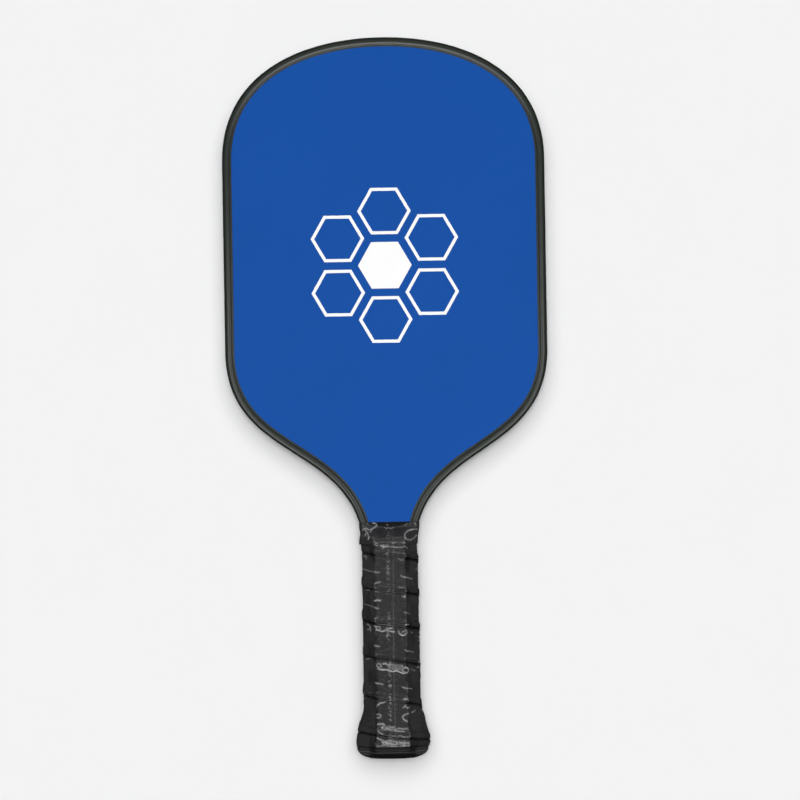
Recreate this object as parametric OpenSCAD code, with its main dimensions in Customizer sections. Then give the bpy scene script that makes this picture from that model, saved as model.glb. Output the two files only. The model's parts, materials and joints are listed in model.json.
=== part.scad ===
// Pickleball paddle: a honeycomb sandwich panel with a wrapped octagonal handle.
// The paddle lies on its back. +X is across the head, +Y runs from the butt to the
// top of the head and +Z points out of the front face. Inside the modules Y is the
// distance from the butt end and Z = 0 is the panel's mid-plane; lay() moves that to
// the part's own frame, whose origin is under the middle of the whole paddle.

/* [Overall size] */
// Length from the butt end to the top of the head
paddle_l = 419; // [410:0.5:430]
// Width of the head over the edge guard
head_w = 187.2; // [182:0.2:196]

/* [Head outline] */
// Height of the rounded top, from the straight sides to the crown
crown_h = 71.5; // [66:0.5:78]
// How far the top curve runs level from the middle before it bends
crown_reach = 49.5; // [44:0.5:55]
// How far the top curve runs straight up from each side before it bends
shoulder_reach = 50; // [44:0.5:55]
// Distance of the straight sides' lower ends from the butt end
side_foot = 237.6; // [232:0.2:250]
// How far the lower curve runs straight down from each side before it bends
hip_reach = 37.7; // [33:0.1:42]
// Half-width at the waist, where the outline turns from convex to concave
waist_x = 46; // [43:0.1:49]
// Distance of the waist from the butt end
waist_y = 172.3; // [169:0.1:176]
// Slope of the outline at the waist, in degrees from level
waist_slope = 34.4; // [32:0.1:37]
// How far the waist's slope carries into the curve above it
waist_reach_up = 27.6; // [24:0.1:31]
// How far the waist's slope carries into the curve below it
waist_reach_down = 23; // [20:0.1:26]
// Half-width at the lower ends of the edge guard, under the collar tape
neck_x = 15.4; // [15.2:0.1:15.6]
// Lean of the outline at the neck, in degrees from the paddle's axis
neck_lean = 6.6; // [5:0.1:8]
// How far the neck's lean carries into the curve above it
neck_reach = 19.1; // [17:0.1:21]

/* [Sandwich panel] */
// Thickness of the honeycomb core
core_t = 13; // [11:0.5:14]
// Size of a honeycomb cell from one wall's middle to the opposite one's
cell = 8; // [8:0.5:12]
// Thickness of a honeycomb wall
cell_wall = 0.35; // [0.3:0.05:0.6]
// Width of the sealed rim round the core
core_rim = 0.8; // [0.6:0.1:2]
// Thickness of the bonding scrim between the core and a face sheet
scrim_t = 0.15; // [0.1:0.05:0.3]
// Thickness of a face sheet
sheet_t = 0.5; // [0.4:0.1:0.8]
// Thickness of the printed film over a face sheet
film_t = 0.15; // [0.1:0.05:0.25]
// Thickness of the raised white ink of the emblem
ink_t = 0.08; // [0.05:0.01:0.12]

/* [Edge guard] */
// Thickness of the guard's web round the panel's edge
web_t = 1.3; // [1:0.1:1.6]
// Thickness of the two lips over the faces
lip_t = 1.2; // [1:0.1:1.6]
// Reach of the lips from the outside of the guard
lip_reach = 5.4; // [5:0.1:6.5]
// Radius of the guard's rounded outer corners
corner_r = 3; // [2.6:0.1:3.2]
// Thickness of the glue between the panel's edge and the guard
glue_t = 0.2; // [0.1:0.05:0.3]

/* [Handle] */
// Width of the bare octagonal handle
handle_w = 29; // [28.8:0.1:29.2]
// Thickness of the bare octagonal handle
handle_t = 25; // [24.6:0.1:25.2]
// Leg of the handle's bevels, in width and in thickness
bevel = 6.2; // [5.8:0.1:6.6]
// Distance of the handle halves' lower ends from the butt end
handle_foot = 4.5; // [4:0.1:5]
// Distance of the handle halves' upper ends from the butt end
handle_top = 135.2; // [134.5:0.1:136]
// Distance from the butt end at which the handle starts to thin towards the face
ramp_foot = 127.5; // [127:0.1:128.5]
// Height of the handle's upper ends over the panel's mid-plane
ramp_top_z = 7.9; // [7.8:0.1:8]
// Width of the panel's tang inside the handle
tang_w = 24; // [22:0.5:25]
// Distance of the tang's lower end from the butt end
tang_foot = 8; // [7:0.5:14]
// Distance from the butt end at which the tang starts to widen into the neck
tang_top = 112; // [106:0.5:114]
// Thickness of the glue between a handle half and the face sheet
bond_t = 0.2; // [0.1:0.05:0.3]

/* [Grip] */
// Least thickness of the wrapped grip
wrap_t = 1.5; // [1.4:0.05:1.6]
// How much thicker the wrap is at the butt end than at the collar
wrap_build_up = 0.6; // [0.4:0.05:0.8]
// Distance of the wrap's upper edge from the butt end
wrap_top = 126.5; // [126:0.1:126.8]
// Distance of the wrap's lower edge from the butt end
wrap_foot = 7; // [6.5:0.1:7.5]
// Thickness of the grip's adhesive backing
backing_t = 0.12; // [0.08:0.01:0.2]
// Distance of the collar tape's lower edge from the butt end
collar_foot = 124; // [122:0.5:125]
// Distance of the collar tape's upper edge from the butt end
collar_top = 137.5; // [137.3:0.1:139]
// Thickness of the collar tape where it is wound twice, over the grip
collar_t = 0.6; // [0.4:0.05:0.8]
// Thickness of the collar tape at its upper edge
collar_edge_t = 0.25; // [0.2:0.05:0.4]

/* [Butt cap] */
// Width of the flared butt over the wrap
butt_w = 42.6; // [41:0.2:44]
// Thickness of the flared butt over the wrap
butt_t = 36; // [34.6:0.2:37]
// Step of the cap's lip below the outside of the wrap
lip_step = 0.35; // [0.2:0.05:0.8]
// Distance of the cap skirt's upper edge from the butt end
skirt_top = 33; // [33:0.5:36]
// Radius of the blank badge in the end of the cap
badge_r = 8; // [6:0.5:8.5]
// Depth of the badge's recess
badge_recess = 0.8; // [0.6:0.1:1.2]
// Thickness of the badge
badge_t = 0.6; // [0.4:0.1:0.6]
// Width of a staple's crown
staple_w = 8; // [6:0.5:8.5]
// Thickness of the staple wire
staple_wire = 0.6; // [0.5:0.1:0.7]
// Length of a staple's legs
staple_leg = 5; // [4:0.5:5.5]
// Distance of the staples from the butt end
staple_y = 26; // [25:0.5:28]

/* [Emblem] */
// Distance of the emblem's middle from the butt end
emblem_y = 286.5; // [270:0.5:300]
// Distance between the middles of neighbouring hexagons
emblem_pitch = 31.5; // [26:0.5:36]
// Width of a hexagon across its flats
emblem_cell = 27; // [20:0.5:25.5]
// Width of the hexagons' lines
emblem_line = 1.8; // [1:0.1:4]

/* [Hidden] */

// Steps along the top curve, the lower curve and the neck curve of each side
crown_steps = 20;
hip_steps = 14;
neck_steps = 10;
tang_steps = 6;

// Heights over the mid-plane of each layer's outer surface
core_z = core_t / 2;
scrim_z = core_z + scrim_t;
sheet_z = scrim_z + sheet_t;
film_z = sheet_z + film_t;
lip_z = film_z + lip_t;
bond_z = sheet_z + bond_t;

// The edge guard's lower ends, half a millimetre above the wrap
neck_y = wrap_top + 0.5;
// Thickness of the lips' inner edges, and the width over which they round up from there
lip_edge_t = 0.4;
lip_round = 1.6;
// Clearance of the handle halves from the guard's lips
seat_gap = 0.2;
// Where the collar tape's slope down from the grip ends, and its bevel from there up
collar_bend = handle_top - 0.3;
collar_bevel = 1.6;

// Room past a solid's end, so that a cut leaves no skin
past = 10;
// Fit gap round the taped parts
gap = 0.05;
// A bevel's leg shrinks by this much for each millimetre that an octagon shrinks
bevel_rate = 2 - sqrt(2);

// How far the butt has flared at each distance from the butt end: 0 none, 1 fully
flare = [[skirt_top, 0], [29.5, 0.09], [27, 0.24], [24.5, 0.45], [22, 0.59], [17, 0.79],
         [12, 1], [8, 1], [wrap_foot, 0.98]];
// Insets of the cap's rounded end, from its lip, at each distance from the butt end
cap_end = [[wrap_foot, 0], [5, 0.2], [4, 0.8], [2.5, 2.2], [1.2, 5], [0, 8]];
// Growth of the bevels' legs from the handle to the full flare
bevel_growth = 3.8;

// ---- Curves ----

function bezier(p, t) =
    pow(1 - t, 3) * p[0] + 3 * pow(1 - t, 2) * t * p[1] + 3 * (1 - t) * t * t * p[2] + pow(t, 3) * p[3];

function bezier_slope(p, t) =
    pow(1 - t, 2) * (p[1] - p[0]) + 2 * (1 - t) * t * (p[2] - p[1]) + t * t * (p[3] - p[2]);

function outward(slope) = [-slope[1], slope[0]] / norm(slope);

function reversed(list) = [for (i = [len(list) - 1:-1:0]) list[i]];

function mirrored(list) = [for (p = list) [-p[0], p[1]]];

// The right side's three curves, from the crown to the neck
crown_curve = [[0, paddle_l], [crown_reach, paddle_l],
               [head_w / 2, paddle_l - crown_h + shoulder_reach], [head_w / 2, paddle_l - crown_h]];
hip_curve = [[head_w / 2, side_foot], [head_w / 2, side_foot - hip_reach],
             [waist_x, waist_y] + waist_reach_up * [cos(waist_slope), sin(waist_slope)],
             [waist_x, waist_y]];
neck_curve = [[waist_x, waist_y],
              [waist_x, waist_y] - waist_reach_down * [cos(waist_slope), sin(waist_slope)],
              [neck_x, neck_y] + neck_reach * [sin(neck_lean), cos(neck_lean)],
              [neck_x, neck_y]];

function along(curve, steps, first, d) =
    [for (i = [first:steps]) bezier(curve, i / steps) + d * outward(bezier_slope(curve, i / steps))];

// The right side of the paddle's outline, moved outwards by d
function side(d) = concat(along(crown_curve, crown_steps, 1, d), along(hip_curve, hip_steps, 0, d),
                          along(neck_curve, neck_steps, 1, d));

// The whole outline from the left end of the neck over the crown to the right end
function outline(d) = concat(mirrored(reversed(side(d))), [[0, paddle_l + d]], side(d));

// The tang's right side, from the neck down to its lower corner
function tang_side(d) =
    let (top = [neck_x, neck_y] + d * [cos(neck_lean), -sin(neck_lean)],
         sink = (neck_y - tang_top) / 2,
         curve = [top, top - sink * [sin(neck_lean), cos(neck_lean)],
                  [tang_w / 2, tang_top + sink], [tang_w / 2, tang_top]],
         inset = d + web_t + glue_t)
    concat([for (i = [1:tang_steps]) bezier(curve, i / tang_steps) + [inset, 0] * (i / tang_steps)],
           [[tang_w / 2 + inset, tang_foot - inset]]);

// The panel with its tang, inside the edge guard by d
function panel(d) =
    let (right = concat(side(-web_t - glue_t - d), tang_side(-web_t - glue_t - d)))
    concat(mirrored(reversed(right)), [[0, paddle_l - web_t - glue_t - d]], right);

// ---- Octagonal sections: [distance from the butt end, half-width, half-thickness, bevel] ----

function octagon(w, t, b) =
    [[w, t - b], [w - b, t], [b - w, t], [-w, t - b], [-w, b - t], [b - w, -t], [w - b, -t], [w, b - t]];

function shrunk(section, d) =
    [section[0], section[1] - d, section[2] - d, section[3] - d * bevel_rate];

function moved(section, y) = [y, section[1], section[2], section[3]];

// The bare handle grown by d
function handle_section(y, d) = shrunk([y, handle_w / 2, handle_t / 2, bevel], -d);

// Outside of the wrap at its top and over the flare
wrap_head = handle_section(wrap_top, wrap_t);
wrap_waist = handle_section(skirt_top, wrap_t + wrap_build_up);
wrap_flare = [for (f = flare) [f[0],
    wrap_waist[1] + f[1] * (butt_w / 2 - wrap_waist[1]),
    wrap_waist[2] + f[1] * (butt_t / 2 - wrap_waist[2]),
    wrap_waist[3] + f[1] * bevel_growth]];
// Outside of the butt cap under the wrap, and of the lip and rounded end below the wrap
cap_flare = [for (s = wrap_flare) shrunk(s, wrap_t)];
cap_base = [for (e = cap_end) shrunk(moved(wrap_flare[len(flare) - 1], e[0]), lip_step + e[1])];

// Half-width of the outline at a distance from the butt end, along the neck
function neck_half_w(y) = lookup(y, [for (p = along(neck_curve, neck_steps, 0, 0)) [p[1], p[0]]]);

// ---- Shared shapes ----

// Places a module's own axes in the part's frame
module lay() {
    translate([0, -paddle_l / 2, butt_t / 2]) children();
}

// A flat layer between two heights over the mid-plane
module layer(z0, z1) {
    translate([0, 0, z0]) linear_extrude(z1 - z0) children();
}

// A solid through octagonal sections listed from the top of the paddle down
module octagon_loft(sections) {
    n = 8;
    last = len(sections) - 1;
    points = [for (s = sections) for (p = octagon(s[1], s[2], s[3])) [p[0], s[0], p[1]]];
    walls = [for (i = [0:last - 1]) for (j = [0:n - 1])
        let (k = (j + 1) % n) each [[i * n + j, (i + 1) * n + j, i * n + k],
                                    [i * n + k, (i + 1) * n + j, (i + 1) * n + k]]];
    ends = [[for (j = [0:n - 1]) j], [for (j = [n - 1:-1:0]) last * n + j]];
    polyhedron(points, concat(walls, ends));
}

// A straight octagonal bar between two distances from the butt end
module octagon_bar(y0, y1, d) {
    s = handle_section(0, d);
    translate([0, y1, 0]) rotate([90, 0, 0]) linear_extrude(y1 - y0) polygon(octagon(s[1], s[2], s[3]));
}

// ---- Sandwich panel ----

module hexagon(across_flats) {
    circle(r = across_flats / sqrt(3), $fn = 6);
}

// All the cells whose middles lie on or near the panel
module cells() {
    column_step = cell * sqrt(3) / 2;
    half_w = lookup_table(panel(core_rim));
    columns = ceil(head_w / 2 / column_step);
    rows = ceil(paddle_l / cell);
    for (i = [-columns:columns]) for (j = [0:rows]) {
        x = i * column_step;
        y = (j + (abs(i) % 2) / 2) * cell;
        reach = max(lookup(y - cell / 2, half_w), lookup(y, half_w), lookup(y + cell / 2, half_w));
        if (abs(x) < reach + cell / 2 && y > tang_foot - cell / 2 && y < paddle_l + cell / 2)
            translate([x, y]) hexagon(cell - cell_wall);
    }
}

// Half-widths of an outline's right side against the distance from the butt end
function lookup_table(points) = [for (p = points) if (p[0] >= 0) [p[1], p[0]]];

module honeycomb_core() {
    color("white") lay() layer(-core_z, core_z) difference() {
        polygon(panel(0));
        intersection() {
            polygon(panel(core_rim));
            cells();
        }
    }
}

module scrim() {
    color("ivory") layer(core_z, scrim_z) polygon(panel(0));
}

module face_sheet() {
    color([0.12, 0.12, 0.13]) layer(scrim_z, sheet_z) polygon(panel(0));
}

// The film covers the panel down to the handle halves
module graphic_film() {
    color([0.11, 0.32, 0.64]) layer(sheet_z, film_z) intersection() {
        polygon(panel(0));
        translate([-head_w / 2, handle_top]) square([head_w, paddle_l]);
    }
}

// A ring of six hexagon outlines round a full hexagon, all level across their tops
module emblem_ink() {
    color("white") layer(film_z, film_z + ink_t) translate([0, emblem_y]) {
        hexagon(emblem_cell);
        for (a = [30:60:330]) rotate(a) translate([emblem_pitch, 0]) rotate(-a) difference() {
            hexagon(emblem_cell);
            hexagon(emblem_cell - 2 * emblem_line);
        }
    }
}

// ---- Edge guard ----

// The guard's section as [inwards distance, height], from the front lip's tip round the
// outside to the back lip's tip, and back along the channel
function guard_section() =
    let (rise = lip_t - lip_edge_t,
         front = concat([for (a = [0:45:90]) [lip_reach - lip_round * (1 - cos(a)),
                                              film_z + lip_edge_t + rise * sin(a)]],
                        [for (a = [90:-30:0]) [corner_r - corner_r * cos(a),
                                               lip_z - corner_r + corner_r * sin(a)]]),
         back = [for (p = reversed(front)) [p[0], -p[1]]])
    concat(front, back, [[lip_reach, -film_z], [web_t, -film_z], [web_t, film_z], [lip_reach, film_z]]);

module edge_guard() {
    section = guard_section();
    n = len(section);
    rings = [for (p = section) [for (q = outline(-p[0])) [q[0], q[1], p[1]]]];
    last = len(rings[0]) - 1;
    points = [for (i = [0:last]) for (j = [0:n - 1]) rings[j][i]];
    walls = [for (i = [0:last - 1]) for (j = [0:n - 1])
        let (k = (j + 1) % n) each [[i * n + j, i * n + k, (i + 1) * n + j],
                                    [i * n + k, (i + 1) * n + k, (i + 1) * n + j]]];
    // The section in convex pieces: two lips, the web and the two corners between them
    end = [[17, 0, 1, 2, 3, 4, 16], [16, 4, 5], [16, 5, 6, 7, 8, 15], [15, 8, 9],
           [15, 9, 10, 11, 12, 13, 14]];
    ends = concat([for (f = end) reversed(f)], [for (f = end) [for (j = f) last * n + j]]);
    color([0.2, 0.22, 0.2]) lay() polyhedron(points, concat(walls, ends));
}

module edge_guard_glue() {
    color("ivory") lay() layer(-film_z, film_z)
        polygon(concat(outline(-web_t), reversed(outline(-web_t - glue_t))));
}

// ---- Handle ----

// One half of the handle, in front of the mid-plane, with the tang's pocket, the slope
// up to the face, the seats for the guard's lips and the slots for the staples
module handle_half() {
    w = handle_w / 2;
    t = handle_t / 2;
    seat_x = neck_x - lip_reach - seat_gap;
    run = handle_top - ramp_foot;
    color([0.75, 0.72, 0.62]) difference() {
        translate([0, handle_top, 0]) rotate([90, 0, 0]) linear_extrude(handle_top - handle_foot)
            polygon([[w, 0], [w, t - bevel], [w - bevel, t], [bevel - w, t], [-w, t - bevel], [-w, 0]]);
        translate([-tang_w / 2, tang_foot, -past]) cube([tang_w, paddle_l, bond_z + past]);
        translate([-w - past, tang_top, -past]) cube([2 * (w + past), paddle_l, bond_z + past]);
        rotate([90, 0, 90]) translate([0, 0, -w - past]) linear_extrude(2 * (w + past))
            polygon([[ramp_foot, t], [handle_top, ramp_top_z],
                     [handle_top + past, ramp_top_z - past * (t - ramp_top_z) / run],
                     [handle_top + past, t + past], [ramp_foot, t + past]]);
        for (s = [0, 1]) mirror([s, 0, 0])
            translate([seat_x, neck_y - seat_gap, 0]) cube([past, paddle_l, lip_z + seat_gap]);
        staple_pair();
    }
}

// The bond stops short of the guard's lips beside it
module handle_bond() {
    w = neck_x - lip_reach - 2 * seat_gap;
    color("ivory") layer(sheet_z, bond_z) {
        translate([-tang_w / 2, tang_foot]) square([tang_w, wrap_top - tang_foot]);
        translate([-w, tang_foot]) square([2 * w, handle_top - tang_foot]);
    }
}

// ---- Butt cap ----

// The two staples on the front of the cap's skirt, sunk below its surface
module staple_pair(over = 0) {
    top = lookup(staple_y + staple_wire, [for (s = cap_flare) [s[0], s[2]]]) - gap;
    for (s = [-1, 1]) translate([s * (staple_w / 2 + 1), staple_y, top]) {
        translate([-staple_w / 2, 0, -staple_wire]) cube([staple_w, staple_wire, staple_wire + over]);
        for (e = [-staple_w / 2, staple_w / 2 - staple_wire])
            translate([e, 0, -staple_wire - staple_leg]) cube([staple_wire, staple_wire, staple_leg]);
    }
}

module butt_cap_staples() {
    color("silver") lay() for (s = [0, 1]) mirror([0, 0, s]) staple_pair();
}

module butt_cap() {
    color([0.1, 0.1, 0.1]) lay() difference() {
        octagon_loft(concat(cap_flare, cap_base));
        octagon_bar(handle_foot, skirt_top + past, 0);
        rotate([90, 0, 0]) translate([0, 0, -badge_recess]) cylinder(r = badge_r, h = badge_recess + past);
        for (s = [0, 1]) mirror([0, 0, s]) staple_pair(past);
    }
}

module butt_badge() {
    color([0.16, 0.16, 0.17]) lay()
        translate([0, badge_recess, 0]) rotate([90, 0, 0]) cylinder(r = badge_r, h = badge_t);
}

// ---- Grip ----

module grip_backing() {
    color("ivory") lay() difference() {
        octagon_bar(skirt_top, wrap_top, backing_t);
        octagon_bar(skirt_top - past, wrap_top + past, 0);
    }
}

module grip_wrap() {
    color([0.18, 0.18, 0.18]) lay() difference() {
        octagon_loft(concat([wrap_head], wrap_flare));
        octagon_loft(concat(cap_flare, [moved(cap_flare[len(flare) - 1], -past)]));
        octagon_bar(skirt_top - past, wrap_top + past, backing_t);
    }
}

module collar_tape() {
    inside = shrunk(wrap_head, -gap);
    edge = [collar_top, neck_half_w(collar_top) + gap, lip_z + gap, collar_bevel];
    bend = [collar_bend, neck_half_w(collar_bend) + gap, lip_z + gap, collar_bevel];
    color([0.15, 0.15, 0.15]) lay() difference() {
        octagon_loft([shrunk(edge, -collar_edge_t), shrunk(bend, -collar_edge_t), shrunk(inside, -collar_t),
                      shrunk(moved(inside, collar_foot), -collar_t)]);
        octagon_loft([moved(edge, collar_top + past), edge, bend, inside, moved(inside, collar_foot - past)]);
    }
}

// ---- Front and back copies of the paired parts ----

module front_scrim() { lay() scrim(); }
module back_scrim() { lay() mirror([0, 0, 1]) scrim(); }
module front_face_sheet() { lay() face_sheet(); }
module back_face_sheet() { lay() mirror([0, 0, 1]) face_sheet(); }
module front_graphic_film() { lay() graphic_film(); }
module back_graphic_film() { lay() mirror([0, 0, 1]) graphic_film(); }
module front_emblem_ink() { lay() emblem_ink(); }
module back_emblem_ink() { lay() mirror([0, 0, 1]) emblem_ink(); }
module front_handle_half() { lay() handle_half(); }
module back_handle_half() { lay() mirror([0, 0, 1]) handle_half(); }
module front_handle_bond() { lay() handle_bond(); }
module back_handle_bond() { lay() mirror([0, 0, 1]) handle_bond(); }

honeycomb_core();
front_scrim();
back_scrim();
front_face_sheet();
back_face_sheet();
front_graphic_film();
back_graphic_film();
front_emblem_ink();
back_emblem_ink();
edge_guard();
edge_guard_glue();
front_handle_half();
back_handle_half();
front_handle_bond();
back_handle_bond();
butt_cap();
butt_cap_staples();
butt_badge();
grip_backing();
grip_wrap();
collar_tape();
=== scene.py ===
"""A pickleball paddle lying on its back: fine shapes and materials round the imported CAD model.

The helpers below work in millimetres on the paddle's own axes, as the CAD source does: x is
across the head, s is the distance from the butt end and z is the height over the panel's
mid-plane. place() turns those into metres in the shared frame.
"""
import json
import math

import bmesh
import bpy
import numpy as np
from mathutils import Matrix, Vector


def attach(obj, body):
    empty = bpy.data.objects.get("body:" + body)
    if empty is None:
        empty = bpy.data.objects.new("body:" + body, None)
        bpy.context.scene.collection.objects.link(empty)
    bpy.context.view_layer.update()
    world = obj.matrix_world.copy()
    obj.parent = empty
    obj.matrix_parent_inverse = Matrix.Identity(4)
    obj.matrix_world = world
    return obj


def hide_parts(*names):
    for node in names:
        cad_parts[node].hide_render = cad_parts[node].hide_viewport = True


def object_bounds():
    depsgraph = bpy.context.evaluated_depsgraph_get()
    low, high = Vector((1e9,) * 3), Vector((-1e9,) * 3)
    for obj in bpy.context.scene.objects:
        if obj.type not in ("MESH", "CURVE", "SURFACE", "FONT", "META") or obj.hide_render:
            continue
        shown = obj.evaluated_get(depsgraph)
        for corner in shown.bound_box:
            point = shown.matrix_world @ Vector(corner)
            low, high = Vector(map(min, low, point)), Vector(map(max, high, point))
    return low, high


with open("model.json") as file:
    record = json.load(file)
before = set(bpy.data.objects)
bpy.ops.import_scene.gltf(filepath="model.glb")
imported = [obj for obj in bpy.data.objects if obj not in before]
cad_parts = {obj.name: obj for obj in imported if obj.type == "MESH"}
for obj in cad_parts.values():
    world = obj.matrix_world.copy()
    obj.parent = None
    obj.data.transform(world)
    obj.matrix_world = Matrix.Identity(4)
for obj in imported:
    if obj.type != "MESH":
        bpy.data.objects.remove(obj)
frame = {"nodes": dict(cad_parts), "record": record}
cad_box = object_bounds()
nodes = frame["nodes"]

MM = 0.001
TURN = 2 * math.pi
BUTT_END = cad_box[0].y / MM
MID_PLANE = (cad_box[0].z + cad_box[1].z) / 2 / MM
PADDLE_L = (cad_box[1].y - cad_box[0].y) / MM
HEAD_W = (cad_box[1].x - cad_box[0].x) / MM

# ---- Dimensions, in millimetres ----

# Head outline: control points of the right side's three curves, from crown to neck
CROWN_H, CROWN_REACH, SHOULDER_REACH = 71.5, 49.5, 50
SIDE_FOOT, HIP_REACH = 237.6, 37.7
WAIST, WAIST_SLOPE, WAIST_UP, WAIST_DOWN = np.array([46, 172.3]), math.radians(34.4), 27.6, 23
NECK, NECK_LEAN, NECK_REACH = np.array([15.4, 127]), math.radians(6.6), 19.1

# Heights over the mid-plane of the printed film and of the edge guard's lips
FILM_Z, LIP_Z = 7.3, 8.5
# Edge guard: thickness of its web, reach of its lips, distance inwards of their crest, radius of
# their inner slope and drop of their outer corner
WEB_T, LIP_REACH, GUARD_CREST, GUARD_BEND, GUARD_DROP = 1.3, 5.4, 2.3, 2.7, 2.9

# Bare octagonal handle: half-width, half-thickness and leg of the bevels
HANDLE = np.array([14.5, 12.5, 6.2])
# How fast the bevels' legs grow as an octagon grows evenly
BEVEL_RATE = 2 - math.sqrt(2)
# Where the bare handle ends inside the butt cap, and the top of the cap's skirt
HANDLE_FOOT = 4.5
SKIRT_TOP = 33

# Growth of the three from the handle to the full flare of the butt, and the flare's profile
FLARE_GROWTH = np.array([4.75, 3.2, 3.8])
FLARE = np.array([[0, 0.95], [7, 0.98], [8, 1], [12, 1], [17, 0.79], [22, 0.59], [24.5, 0.45],
                  [27, 0.24], [29.5, 0.09], [33, 0]])

# Grip strip: width, thickness, thickness at its skived edges and width of the skive
STRIP_W, STRIP_T, STRIP_EDGE, SKIVE = 25.5, 1.3, 0.95, 3.0
# How far a turn laps over the one below, at least, and the share of its thickness that the lower
# one keeps
LAP, SQUEEZE = 4.2, 0.56
# Adhesive backing, the underlay that builds up towards the butt, and both ends of the wrap
BACKING_T, UNDERLAY_T = 0.15, 0.45
GRIP_FOOT, GRIP_TOP = 7.0, 126.4
# Where the strip's lower edge crosses the middle of the front on each turn
SEAMS = [7.0, 13.5, 34.0, 57.3, 77.8, 97.2, 117.4, 138.0]

# Collar tape: lower and upper edges, thickness, and where it bends up from the face
COLLAR_FOOT, COLLAR_TOP, COLLAR_T, COLLAR_BEND = 124.6, 137.5, 0.3, 135.0

# Butt cap's lip below the wrap, and the radius and depth of the recess for its badge
LIP_STEP, BADGE_R, BADGE_RECESS, BADGE_T = 0.35, 8.0, 0.8, 0.6
# The cap's rounded end, as (distance from the butt end, inset from the lip)
CAP_END = [(6.9, 0), (6, 0.03), (5, 0.2), (4, 0.8), (3.2, 1.45), (2.5, 2.2), (1.8, 3.4), (1.2, 4.8),
           (0.7, 6.2), (0.3, 7.4), (0.08, 8.2), (0, 8.9)]

# An x that no crease reaches
FAR = 99


# ---- Small maths ----

def smooth(t):
    """Smooth step: 0 below 0, 1 above 1."""
    t = np.clip(t, 0, 1)
    return t * t * (3 - 2 * t)


def bump_at(d, width):
    """A soft bump of height 1 and half-width of about width."""
    return np.exp(-(d / width) ** 2)


def lattice(i, j, seed):
    """A repeatable random number from -1 to 1 at each lattice point."""
    h = (i * 374761393 + j * 668265263 + seed * 2246822519) & 0xFFFFFFFF
    h = ((h ^ (h >> 13)) * 1274126177) & 0xFFFFFFFF
    return (h ^ (h >> 16)) / 2 ** 31 - 1


def noise(a, b, seed):
    """Smooth noise from -1 to 1, with lumps about one unit across."""
    i, j = np.floor(a).astype(np.int64), np.floor(b).astype(np.int64)
    u, v = smooth(a - i), smooth(b - j)
    low = lattice(i, j, seed) * (1 - u) + lattice(i + 1, j, seed) * u
    high = lattice(i, j + 1, seed) * (1 - u) + lattice(i + 1, j + 1, seed) * u
    return low * (1 - v) + high * v


def folds(a, b, seed):
    """Noise with narrow crests, like creased film, from 0 to 1."""
    return (1 - np.abs(noise(a, b, seed))) ** 4


def place(x, s, z):
    """Points in the shared frame, in metres, as an array of rows."""
    x, s, z = np.broadcast_arrays(x, s, z)
    return np.stack([x, s + BUTT_END, z + MID_PLANE], -1).reshape(-1, 3) * MM


# ---- Octagonal sections ----

def grown(section, d):
    """A section [half-width, half-thickness, bevel] moved outwards by d."""
    return section + np.array([1, 1, BEVEL_RATE]) * np.asarray(d)[..., None]


def ring(section, angle, sharpness=70):
    """x and z of a rounded octagon. Angles run from the front towards -X."""
    w, t, b = section[..., 0], section[..., 1], section[..., 2]
    x, z = -np.sin(angle), np.cos(angle)
    sides = [x / w, z / t, (x + z) / (w + t - b), (x - z) / (w + t - b)]
    nearest = np.max(np.abs(sides), axis=0)
    radius = 1 / nearest / sum(np.abs(f / nearest) ** sharpness for f in sides) ** (1 / sharpness)
    return x * radius, z * radius


def flare_at(s):
    """How far the butt has flared, smoothed over the corners of its profile."""
    return sum(np.interp(s + o, FLARE[:, 0], FLARE[:, 1]) for o in (-1.6, -0.8, 0, 0.8, 1.6)) / 5


def grip_base(s):
    """Section under the grip strip: the bare handle, its backing and the flared cap."""
    s = np.asarray(s, float)
    underlay = UNDERLAY_T * np.clip((GRIP_TOP - s) / (GRIP_TOP - SKIRT_TOP), 0, 1)
    return grown(HANDLE, BACKING_T + underlay) + flare_at(s)[..., None] * FLARE_GROWTH


# ---- Meshes ----

def new_mesh(name, points, faces):
    """An object with smooth shading and its faces turned outwards."""
    mesh = bpy.data.meshes.new(name)
    mesh.from_pydata([tuple(p) for p in points], [], faces)
    work = bmesh.new()
    work.from_mesh(mesh)
    bmesh.ops.recalc_face_normals(work, faces=work.faces)
    for f in work.faces:
        f.smooth = True
    work.to_mesh(mesh)
    work.free()
    piece = bpy.data.objects.new(name, mesh)
    bpy.context.scene.collection.objects.link(piece)
    return piece


def loft(name, rings):
    """A closed solid through rings of equal length, with a fan of faces over each end."""
    n = len(rings[0])
    points = list(np.concatenate(rings))
    faces = []
    for r in range(len(rings) - 1):
        for j in range(n):
            k = (j + 1) % n
            faces.append((r * n + j, r * n + k, (r + 1) * n + k, (r + 1) * n + j))
    for first in (0, (len(rings) - 1) * n):
        centre = len(points)
        points.append(np.mean(points[first:first + n], axis=0))
        faces += [(first + j, first + (j + 1) % n, centre) for j in range(n)]
    return new_mesh(name, points, faces)


def tube(name, rings):
    """A closed ring-shaped solid: the last ring joins the first."""
    n, m = len(rings[0]), len(rings)
    faces = [(r * n + j, r * n + (j + 1) % n, (r + 1) % m * n + (j + 1) % n, (r + 1) % m * n + j)
             for r in range(m) for j in range(n)]
    return new_mesh(name, np.concatenate(rings), faces)


def ribbon(name, top, bottom):
    """A closed ribbon. top and bottom are grids of points with equal numbers of columns."""
    columns, rows = top.shape[:2]
    under = bottom.shape[1]
    loop = rows + under
    points = np.concatenate([top, bottom[:, ::-1]], axis=1).reshape(-1, 3)
    faces = [(c * loop + j, c * loop + (j + 1) % loop,
              (c + 1) * loop + (j + 1) % loop, (c + 1) * loop + j)
             for c in range(columns - 1) for j in range(loop)]
    faces += [tuple(range(loop)), tuple((columns - 1) * loop + j for j in range(loop))]
    return new_mesh(name, points, faces)


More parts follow.
